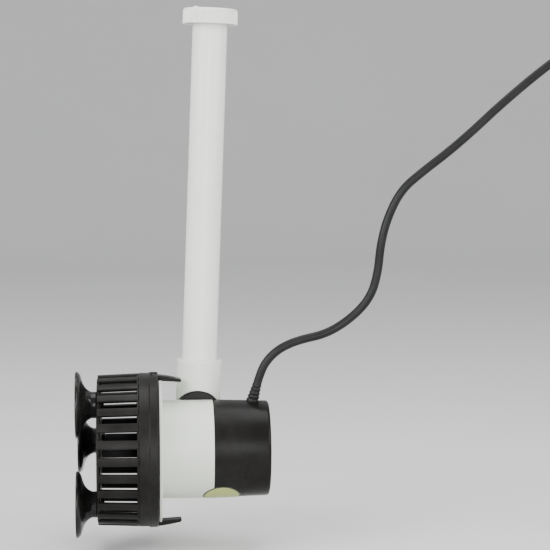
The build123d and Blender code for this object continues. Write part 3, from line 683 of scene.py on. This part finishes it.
def make_cage():
    """The drum's end, ribs and band as one mesh."""
    end = soften([(14.8, 0), (14.8, 51.2), (SLOT_START, 52.9), (17.6, 51.0), (17.6, 0)], 0.8, 6,
                 closed=False)
    band = soften([(SLOT_END, 52.2), (SLOT_END, 54.4), (SLOT_END + 1.2, 54.3),
                   (SLOT_END + 1.5, 55.0), (51.6, 55.0), (52.3, 55.6), (53.15, 55.6),
                   (SEAT_X, 55.6), (57.6, 55.6), (58.3, 55.0), (58.3, 48.7), (55.5, 48.7),
                   (55.5, 52.2)], 0.35, 5)
    columns = SLOTS * 20
    pieces = [turned(end, columns=columns, closed=False),
              turned(band, columns=columns, ripple=seats)]
    half = math.pi * 53.7 / SLOTS - 2.9
    section = soften([(50.9, -half), (53.6, -half), (53.7, 0), (53.6, half), (50.9, half)], 0.7, 5)
    rib = bar(section, SLOT_START - 1.0, SLOT_END + 1.0, "x", round_end=0.2, taper=0.022)
    pieces += [rotated(rib, 2 * math.pi * k / SLOTS) for k in range(SLOTS)]
    make_piece("slotted_strainer", *join_meshes(pieces), black_plastic, "strainer",
               ["strainer_cage"], "black_plastic")


make_cage()

# %% Release tabs
def make_tab(side, name, body):
    """A thumb tab: one side outline in X and Z, carried across Y, on two small trunnions."""
    outline = [(50.4, 53.9), (54.5, 53.9), (54.9, 55.0), (54.4, 58.3), (53.3, 66.0), (51.6, 74.4),
               (50.5, 75.2), (49.5, 74.7), (50.4, 60.8)]
    outline = soften([(side * z, x) for z, x in outline], 1.0, 6)
    half = TAB_WIDTH / 2
    tab = bar(outline, TAB_Y - half, TAB_Y + half, "y", round_end=0.8)
    pin = soften([(-half - 2.3, 0), (-half - 2.3, 1.2), (half + 2.3, 1.2), (half + 2.3, 0)], 0.3,
                 closed=False)
    trunnion = turned(pin, (56.6, TAB_Y, side * 52.4), "y", 24, closed=False)
    make_piece(name + "_smooth", *join_meshes([tab, trunnion]), black_plastic, body, [name],
               "black_plastic")


make_tab(1, "release_tab_upper", "tab_upper")
make_tab(-1, "release_tab_lower", "tab_lower")

# %% [markdown]
# ## Pump chamber, motor and label
#
# The chamber is a white barrel with a wide thin flange that closes the strainer. The motor is
# black, drawn in slightly towards its end, with the corner rounded as a mould needs it. The label
# is a disc bent round both of them: a point at distance s along the arc sits at the angle s / R.

# %% Chamber and motor
BODY_R, BODY_END_R = 35.3, 34.2
SEAM_X, MOTOR_END = 97.7, 138.0


def notches(height, radius, angle):
    """The flange's rim, flat where the two tabs pass over it."""
    return flat_spot(radius, angle, 48.7, TAB_WIDTH / 2 + 1.5)


def make_chamber():
    """Flange, barrel and end wall as one turned shell."""
    profile = soften([(58.8, 32.3), (58.8, 52.2), (60.8, 52.2), (60.8, BODY_R + 1.0),
                      (61.8, BODY_R), (SEAM_X - 0.35, BODY_R), (SEAM_X, BODY_R - 0.35),
                      (SEAM_X, 13.8), (94.7, 13.8), (94.7, 32.3)], 0.45, 5)
    mesh = turned(profile, columns=480, ripple=notches)
    make_piece("white_chamber", *mesh, white_plastic, "pump", ["chamber_housing"], "white_plastic")


def make_motor():
    """The motor's can: a slight taper, a rounded far corner and a shallow ring in its end."""
    profile = soften([(SEAM_X, 32.1), (SEAM_X, BODY_R - 0.35), (SEAM_X + 0.35, BODY_R - 0.02),
                      (MOTOR_END, BODY_END_R - 0.1), (MOTOR_END, 27.5), (MOTOR_END - 0.5, 27.2),
                      (MOTOR_END - 0.5, 25.2), (MOTOR_END, 24.9), (MOTOR_END, 0)],
                     [0.3] * 3 + [2.2] + [0.3] * 5, 7, closed=False)
    inner = np.array([(MOTOR_END - 3.5, 0), (MOTOR_END - 3.5, 32.1)])
    mesh = turned(np.concatenate([profile, inner]), columns=256)
    make_piece("motor_can", *mesh, motor_plastic, "pump", ["motor_housing"], "black_plastic")


make_chamber()
make_motor()

# %% Round label
LABEL_X, LABEL_TILT = LABEL_MIDDLE[0], math.radians(27.0)


def make_label(thickness=0.28, columns=96):
    """Disc (x, s) wrapped to (x, -R sin(tilt - s/R), -R cos(tilt - s/R)), with a soft edge."""
    share = np.concatenate([np.linspace(0, 0.985, 22), [0.995, 1.0, 1.0]])[:, None]
    lift = np.concatenate([np.full(22, 1.0), [0.8, 0.4, 0.0]])[:, None] * thickness
    x = LABEL_X + LABEL_R * share * np.cos(circle(columns))
    arc = LABEL_R * share * np.sin(circle(columns))
    slope = (BODY_R - BODY_END_R) / (MOTOR_END - SEAM_X)
    body_r = BODY_R - slope * np.maximum(x - SEAM_X, 0) + 0.02
    turn = LABEL_TILT - arc / body_r
    radius = body_r + lift
    points = np.stack([x, -radius * np.sin(turn), -radius * np.cos(turn)], axis=-1)
    mesh = outward(points.reshape(-1, 3), grid_faces(len(share), columns))
    make_piece("blank_label", *mesh, label_film, "pump", ["round_label"], "label_film")


make_label()

# %% [markdown]
# ## Socket, pipe and water-bell head
#
# The riser leans two degrees away from the wall, so its parts are turned about a leaning axis. The
# socket's foot is coped: it sits astride the hub's round top and against the pump's barrel. Under
# each of its points the foot ends at the higher of those two cylinders,
# z = max(hub_z + sqrt(R_h^2 - (x - hub_x)^2), sqrt(R_b^2 - y^2)).

# %% The leaning axis
def leaning(degrees):
    """Axes A, B, C for a turned shape, with A leaning from Z towards X."""
    sine, cosine = math.sin(math.radians(degrees)), math.cos(math.radians(degrees))
    return np.array([sine, 0, cosine]), np.array([cosine, 0, -sine]), np.array([0, 1.0, 0])


riser_axes = leaning(2.0)
UP, ACROSS, _ = riser_axes
HUB_X, HUB_Z, HUB_R, FOOT_LOW = 87.6, 25.8, 16.0, 33.5
riser_foot = np.array([HUB_X, 16.0, HUB_Z]) - HUB_Z * UP


def cope(x, y):
    """Height of the higher of the hub and the barrel under (x, y), and FOOT_LOW at least."""
    hub = HUB_Z + np.sqrt(np.maximum(HUB_R**2 - (x - HUB_X) ** 2, 0))
    barrel = np.sqrt(np.maximum(BODY_R**2 - y**2, 0))
    return np.maximum(np.maximum(hub, barrel), FOOT_LOW)


def make_socket():
    """Turned socket whose lowest rows follow the cope instead of a level."""
    top = soften([(40, 16.05), (63.2, 16.35), (63.2, 13.2), (62.4, 12.55), (47.2, 12.55),
                  (47.2, 7.5), (44, 7.5)], [0, 1.0, 0.35, 0.3, 0.3, 0.3, 0], 6, closed=False)
    lift = np.array([0.02] * 9 + [0.3, 0.8])[:, None]
    coped = len(lift)
    foot_r = np.concatenate([np.linspace(7.5, 15.7, 9), [15.95, 16.05]])
    angle = circle(192)
    radius = np.concatenate([foot_r, top[1:, 1]])[:, None] + 0 * angle
    level = np.concatenate([np.zeros(coped), top[1:, 0]])[:, None] + 0 * angle
    x = riser_foot[0] + 44 * UP[0] + radius[:coped] * np.cos(angle)
    y = riser_foot[1] + radius[:coped] * np.sin(angle)
    level[:coped] = (cope(x, y) + lift - riser_foot[2]) / UP[2]
    points = around(level, radius, angle, riser_foot, riser_axes)
    faces = grid_faces(*radius.shape, close_rows=True)
    make_piece("coped_socket", *outward(points, faces), socket_plastic, "pump", ["riser_socket"],
               "white_plastic")


def make_pipe():
    """A plain tube with cut ends, a touch rounded by handling."""
    steps = 5
    low, high, inner, outer = 47.2, 306, 10.6, 12.5
    ends = soften([(low, inner), (low, outer), (high, outer), (high, inner)], 0.4, steps)
    side = np.stack([np.linspace(60, 300, 13), np.full(13, outer)], axis=1)
    profile = np.concatenate([ends[:2 * steps], side, ends[2 * steps:]])
    make_piece("drawn_pipe", *turned(profile, riser_foot, riser_axes, 128), pipe_plastic, "riser",
               ["riser_pipe"], "pipe_plastic")


make_socket()
make_pipe()

# %% Water-bell cap
CAP_LOW, CAP_TOP, CAP_R, CAP_RIBS = 305.0, 316.0, 20.0, 77


def cap_ribs(height, radius, angle):
    """r - 0.6 (sin(n a / 2))^2 on the skirt's outside: n fine grip ribs with rounded tops."""
    above = np.clip((height - CAP_LOW - 1.0) / 0.3, 0, 1)
    on_skirt = above * np.clip((CAP_TOP - 1.5 - height) / 0.5, 0, 1)
    outside = np.clip((radius - CAP_R + 1.0) / 0.3, 0, 1)
    return radius - 0.6 * np.sin(CAP_RIBS * angle / 2) ** 2 * on_skirt * outside


def make_cap():
    """Skirt with grip ribs, dished roof, boss for the stem, and the index pip."""
    outer = soften([(CAP_LOW, 18.0), (CAP_LOW, CAP_R), (CAP_LOW + 0.8, CAP_R),
                    (CAP_LOW + 1.1, CAP_R - 0.3), (CAP_TOP, CAP_R - 0.3), (CAP_TOP, 2.6),
                    (311.3, 2.6), (311.3, 5.5), (313.6, 5.5), (313.6, 18.0)],
                   [0.3, 0.3, 0.3, 0.2, 2.2, 0.3, 0.2, 0.5, 0.5, 0.5], 7)
    side = np.stack([np.linspace(CAP_LOW + 1.5, CAP_TOP - 2.6, 8), np.full(8, CAP_R - 0.3)], 1)
    place = int(np.argmax(outer[:, 0] > CAP_LOW + 1.5))
    profile = np.concatenate([outer[:place], side, outer[place:]])
    skirt = turned(profile, riser_foot, riser_axes, CAP_RIBS * 10, ripple=cap_ribs)
    pip = soften([(CAP_TOP - 1, 0), (CAP_TOP - 1, 2), (CAP_TOP + 0.8, 2), (CAP_TOP + 0.8, 0)], 0.5,
                 closed=False)
    pip_foot = riser_foot - 11.0 * ACROSS + np.array([0, -11.0, 0])
    mark = turned(pip, pip_foot, riser_axes, 32, closed=False)
    make_piece("ribbed_cap", *join_meshes([skirt, mark]), cap_plastic, "cap", ["bell_cap"],
               "cap_plastic", sharp=50)


def make_spreader():
    """The disc under the cap that throws the water outwards, with a trumpet-shaped underside."""
    under = cubic((306.5, 2.5), (308.6, 3.6), (309.4, 6.5), (309.5, 11.0), 12)
    rest = soften([(309.5, 11.0), (309.5, 15.5), (311.0, 15.5), (311.0, 2.5)], 0.5, 5,
                  closed=False)
    profile = np.concatenate([under[:-1], rest])
    make_piece("flared_spreader", *turned(profile, riser_foot, riser_axes, 128), cap_plastic,
               "spreader", ["spreader_disc"], "cap_plastic")


make_cap()
make_spreader()

# %% [markdown]
# ## Softened copies
#
# The hub and its plug are cut by the barrel, and that cut is already exact in the CAD mesh. They
# are copied, flat areas are joined up, and a Bevel modifier rounds what is left of the edges.

# %% Copies with a bevel
def bevelled(node, body, material, width):
    """A copy of a CAD mesh with its sharp edges rounded to the given width."""
    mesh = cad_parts[node].data.copy()
    mesh.name = node + "_soft"
    mesh.transform(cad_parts[node].matrix_world)
    weld(mesh, 2e-6, flat_angle=math.radians(1))
    mesh.materials.clear()
    mesh.materials.append(material)
    mesh.shade_smooth()
    piece = new_object(node + "_soft", mesh)
    edge = piece.modifiers.new("soft_edges", "BEVEL")
    edge.width = width * MM
    edge.segments = 3
    edge.limit_method = "ANGLE"
    edge.angle_limit = math.radians(35)
    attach(piece, body)
    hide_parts(node)


bevelled("outlet_hub", "pump", black_plastic, 0.6)
bevelled("hub_plug", "pump", black_plastic, 0.4)

# %% [markdown]
# ## The power cord
#
# A cord is one fixed length of something flexible, so it is a curve through given points. It leaves
# the motor through its strain relief, swims up through the water in slow bends, goes over where the
# tank's rim would be and hangs down to the level of the lowest cup, where the rest is wound up and
# tied. Its line is a NURBS curve of order 3, and the coil's turns are more points of the same
# curve.

# %% The cord's route
CORD = 6.2
FLOOR = cad_low[2] / MM
coil_low, coil_high = box_mm("cord_coil")
coil_middle = (coil_low + coil_high) / 2
coil_mean_r = (coil_high[0] - coil_low[0]) / 2 - 7.0
entry_x = coil_middle[0] + coil_mean_r
lay_z = coil_high[2] + CORD / 2
cord_route = np.array([
    (130.0, 0, 46.5), (132.9, 0, 56.6), (138.6, 0, 65.4), (147.0, 0, 72.5), (159.8, 0, 78.0),
    (181.0, 0, 82.5), (199.5, 0, 94.5), (212.5, 0, 109.0), (217.6, 0, 127.0), (219.2, 0, 146.0),
    (224.0, 0, 165.5), (234.0, 0, 186.0), (250.0, 0, 199.5), (268.5, 0, 213.5),
    (286.0, 0, 228.5), (308.0, 0, 249.0), (338.0, 0, 274.0), (368.0, -1, 295.0),
    (400.0, -3, 304.0), (429.0, -5, 292.0), (446.0, -7, 262.0), (451.5, -9, 208.0),
    (453.0, -11, 132.0), (451.0, -12, 60.0), (452.5, -12, 10.0), (entry_x, -11.6, -28.2),
    (entry_x, -6.4, lay_z + 14.9), (entry_x, 3.3, lay_z + 5.2), (entry_x, 16.0, lay_z),
    (entry_x, 29.0, lay_z),
])


def coil_turns(turns=3, per_turn=14):
    """Points (x + r cos a, y + r sin a, z) that run down and round the coil from its entry.

    Two turns come down at the inner radius, one under the other. The third swings out past them,
    a diameter further from the middle, and ends at the angle where the coil began."""
    turn = np.arange(1, turns * per_turn + 1) / per_turn
    lane = np.interp(turn, [0, 0.1, 2.0, 2.15, 3.0], [0, -0.5, -0.5, 0.5, 0.5]) * CORD
    layer = np.interp(turn, [0, 0.1, 1.0, 2.0, 3.0], [2.1, 2.0, 1.03, 0.0, 0.0]) * CORD
    angle = 2 * math.pi * turn
    radius = coil_mean_r + lane
    return np.stack([
        coil_middle[0] + radius * np.cos(angle),
        coil_middle[1] + radius * np.sin(angle),
        FLOOR + CORD / 2 + layer,
    ], axis=1)


plug_low, plug_high = box_mm("mains_plug")
tail_z = FLOOR + CORD / 2
cord_tail = np.array([
    (entry_x + 2.9, coil_middle[1] + 11, tail_z),
    (entry_x + 1.6, coil_middle[1] + 21, tail_z),
    (entry_x + 0.3, plug_low[1] - 6, tail_z),
    (entry_x, plug_low[1] + 1, tail_z + 0.3),
])

# %% The cord as a curve
def make_cord(points, material):
    """One NURBS spline of order 3 through space, with a round bevel of the cord's radius."""
    curve = bpy.data.curves.new("power_cord_line", "CURVE")
    curve.dimensions = "3D"
    spline = curve.splines.new("NURBS")
    spline.points.add(len(points) - 1)
    flat = np.concatenate([points * MM, np.ones((len(points), 1))], axis=1)
    spline.points.foreach_set("co", flat.ravel())
    spline.order_u = 3
    spline.use_endpoint_u = True
    spline.resolution_u = 8
    curve.bevel_depth = CORD / 2 * MM
    curve.bevel_resolution = 7
    curve.use_fill_caps = True
    curve.materials.append(material)
    cord = new_object("power_cord_line", curve)
    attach(cord, "pump")
    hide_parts("power_cord", "cord_coil", "cord_tail")
    return cord


cord = make_cord(np.concatenate([cord_route, coil_turns(), cord_tail]), cord_sheath)

# %% [markdown]
# ## Strain relief, tie and plug
#
# The strain relief is moulded onto the cord where it leaves the motor: a tapered sleeve with rings
# that let it bend evenly. It is a turned shape on a slanted axis. The plug is a loft: one
# rounded outline that changes its width and height along the plug, which is a surface of two
# parameters, how far along and how far round.

# %% Strain relief
RELIEF_LENGTH = 20.0
relief_axes = leaning(16.0)


def relief_profile(rings=4, root=4.5, tip=CORD / 2 + 0.15):
    """Radius along the sleeve: a straight taper with a rounded groove between each two rings.

    The groove's depth follows a narrow raised cosine, and fades in where the sleeve leaves the
    motor. Both ends run in to the axis."""
    along = np.linspace(0, RELIEF_LENGTH, 121)
    taper = np.interp(along, [0, 7.5, RELIEF_LENGTH], [root, root, tip])
    wave = 0.5 + 0.5 * np.cos(2 * math.pi * (along - 9.2) / (11.0 / rings))
    groove = 0.62 * wave**3 * ((along > 8.0) & (along < 19.4))
    radius = taper - groove * np.interp(along, [8, RELIEF_LENGTH], [1.0, 0.6])
    side = np.stack([along, radius], axis=1)
    return np.concatenate([[[0, 0]], side, [[RELIEF_LENGTH, 0]]])


relief_start = cord_route[0] - RELIEF_LENGTH * relief_axes[0]
relief_mesh = turned(relief_profile(), relief_start, relief_axes, 48, closed=False)
relief = make_piece("strain_relief_sleeve", *relief_mesh, cord_sheath, "pump",
                    ["strain_relief"], "cord_sheath")


# %% Plug
def loft(stations, columns=64, power=3.2):
    """Points (x + w c(a), y, z + h s(a)) for each station (y, w, h, z) and angle a.

    c and s are the cosine and sine raised to 2/power with their signs kept, which squares the
    outline off as power grows. The first and last stations have no width, so the ends close."""
    y, width, height, middle = (stations[:, k][:, None] for k in range(4))
    angle = circle(columns)
    share = 2 / power
    c = np.sign(np.cos(angle)) * np.abs(np.cos(angle)) ** share
    s = np.sign(np.sin(angle)) * np.abs(np.sin(angle)) ** share
    points = np.stack(np.broadcast_arrays(entry_x + width * c, y, middle + height * s), axis=-1)
    return outward(points.reshape(-1, 3), grid_faces(len(stations), columns))


def plug_stations():
    """Width, height and middle of the plug along it, eased between a few listed sections."""
    length = plug_high[1] - plug_low[1]
    along = np.linspace(0, 1, 91)
    place = [0, 0.30, 0.38, 0.50, 0.62, 0.72, 0.94, 1.0]
    width = np.interp(along, place, [3.5, 5.3, 7.6, 11.6, 12.6, 11.9, 12.2, 11.6])
    height = np.interp(along, place, [3.4, 4.8, 6.0, 6.9, 6.9, 6.3, 6.9, 6.5])
    middle = np.interp(along, [0, 0.3, 0.5, 1.0], [3.7, 5.3, 7.0, 7.0]) + FLOOR
    rings = 0.45 * (0.5 + 0.5 * np.cos(2 * math.pi * along / 0.055)) ** 3 * (along < 0.29)
    kernel = np.ones(5) / 5
    soft = [np.convolve(np.pad(v, 2, mode="edge"), kernel, "valid")
            for v in (width, height, middle)]
    y = plug_low[1] + along * length
    body = np.stack([y, soft[0] - rings, soft[1] - rings, soft[2]], axis=1)
    first, last = body[:1].copy(), body[-1:].copy()
    body[-1, 1:3] -= 0.7
    first[:, 1:3] = 0
    last[:, 1:3] = 0
    return np.concatenate([first, body, last])


plug = make_piece("moulded_plug", *loft(plug_stations()), plug_plastic, "pump", ["mains_plug"],
                  "plug_plastic", sharp=50)


def make_plug_pins():
    """Two round pins: each has a bare, rounded tip and a sleeve at its root, turned about Y."""
    low, high = box_mm("plug_pins")
    spacing = high[0] - low[0] - 4.0
    middle_z = (low[2] + high[2]) / 2
    profile = soften([(0, 0), (0, 1.95), (8.5, 1.95), (8.6, 1.8), (high[1] - low[1], 1.8),
                      (high[1] - low[1], 0)], 1.0, closed=False)
    pins = [turned(profile, (entry_x + side * spacing / 2, low[1], middle_z), "y", 32, closed=False)
            for side in (-1, 1)]
    return make_piece("plug_pin_pair", *join_meshes(pins), plug_brass, "pump", ["plug_pins"],
                      "plug_brass")


plug_pins = make_plug_pins()
along_pin = add(brass["tree"], "ShaderNodeSeparateXYZ", Vector=brass["where"]).outputs["Y"]
pin_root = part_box("plug_pins")[0][1]
sleeve = spread(brass["tree"], along_pin, pin_root + 8.8 * MM, pin_root + 8.4 * MM)
over_colour(brass, sleeve, (0.02, 0.02, 0.02, 1))

# %% Coil tie
def make_tie():
    """A strap round the coil's section: a rounded rectangle, 0.9 thick, carried 9 wide along Y."""
    low, high = box_mm("coil_tie")
    x0, x1, z0, z1 = low[0], high[0], low[2], high[2]
    outer = soften([(x0, z0), (x1, z0), (x1, z1), (x0, z1)], 4.0, 9)
    middle = outer.mean(axis=0)
    inner = middle + (outer - middle) * (1 - 0.9 / np.array([(x1 - x0) / 2, (z1 - z0) / 2]))
    edge = 0.25
    across = [low[1], low[1] + edge, high[1] - edge, high[1], high[1], low[1]]
    rows = []
    for y, ring, grow in zip(across, [outer] * 4 + [inner] * 2, (0.98, 1, 1, 0.98, 1, 1)):
        flat = middle + (ring - middle) * grow
        rows.append(np.stack([flat[:, 0], np.full(len(flat), y), flat[:, 1]], axis=1))
    points = np.concatenate(rows)
    faces = grid_faces(len(rows), len(outer), close_rows=True)
    return make_piece("coil_strap", *outward(points, faces), tie_plastic, "pump", ["coil_tie"],
                      "tie_plastic")


coil_strap = make_tie()

# %% [markdown]
# ## Floor and light
#
# Black rubber and plastic show their shape only by what they reflect, so the light is large soft
# panels: one on each side, one above and a weaker one in front. The floor is plain and pale.

# %% Stage and lights
def make_floor(back=5.0, front=-6.0, half_width=7.0, bend=2.0, height=3.5):
    """A pale floor just under the lowest thing, that bends up into a wall far behind it.

    Its outline is level up to back - bend, then a quarter circle (y, z) = (back - bend +
    bend sin a, bend - bend cos a), then upright, so that there is no hard line on the horizon."""
    level = FLOOR * MM - 0.0004
    turn = np.linspace(0, math.pi / 2, 33)
    y = np.concatenate([[front], back - bend + bend * np.sin(turn), [back]])
    z = np.concatenate([[0.0], bend - bend * np.cos(turn), [height]]) + level
    rows = [np.stack([np.full(len(y), side * half_width), y, z], axis=1) for side in (-1, 1)]
    mesh = bpy.data.meshes.new("floor")
    faces = grid_faces(2, len(y), close_columns=False)[:, ::-1]
    mesh.from_pydata(np.concatenate(rows).tolist(), [], faces.tolist())
    mesh.shade_smooth()
    material, _ = finish("floor_paint", (0.70, 0.70, 0.69), roughness=(0.75, 0.9), tone=0.015,
                         tone_scale=2.0, lime=0.0, scuffs=0.0, bump=0.02, specular=0.2)
    mesh.materials.append(material)
    floor = new_object("floor", mesh)


def make_panel(name, place, size, watts, target=(0.12, 0, 0.14)):
    """A square area light that faces its target."""
    data = bpy.data.lights.new(name, "AREA")
    data.shape = "SQUARE"
    data.size = size
    data.energy = watts
    panel = new_object(name, data)
    panel.location = place
    aim = Vector(target) - Vector(place)
    panel.rotation_euler = aim.to_track_quat("-Z", "Y").to_euler()


def light_world(colour=(0.72, 0.73, 0.74), strength=1.08):
    """An even pale sky for fill."""
    world = bpy.data.worlds.new("studio")
    bpy.context.scene.world = world
    world.use_nodes = True
    background = world.node_tree.nodes["Background"]
    background.inputs["Color"].default_value = colour + (1,)
    background.inputs["Strength"].default_value = strength


make_floor()
light_world()
make_panel("left_panel", (-0.9, -0.8, 0.7), 0.9, 20)
make_panel("right_panel", (1.1, -0.7, 0.6), 0.8, 13)
make_panel("top_panel", (0.1, 0.1, 1.4), 1.0, 12)
make_panel("front_panel", (0.1, -1.6, 0.3), 0.7, 10)
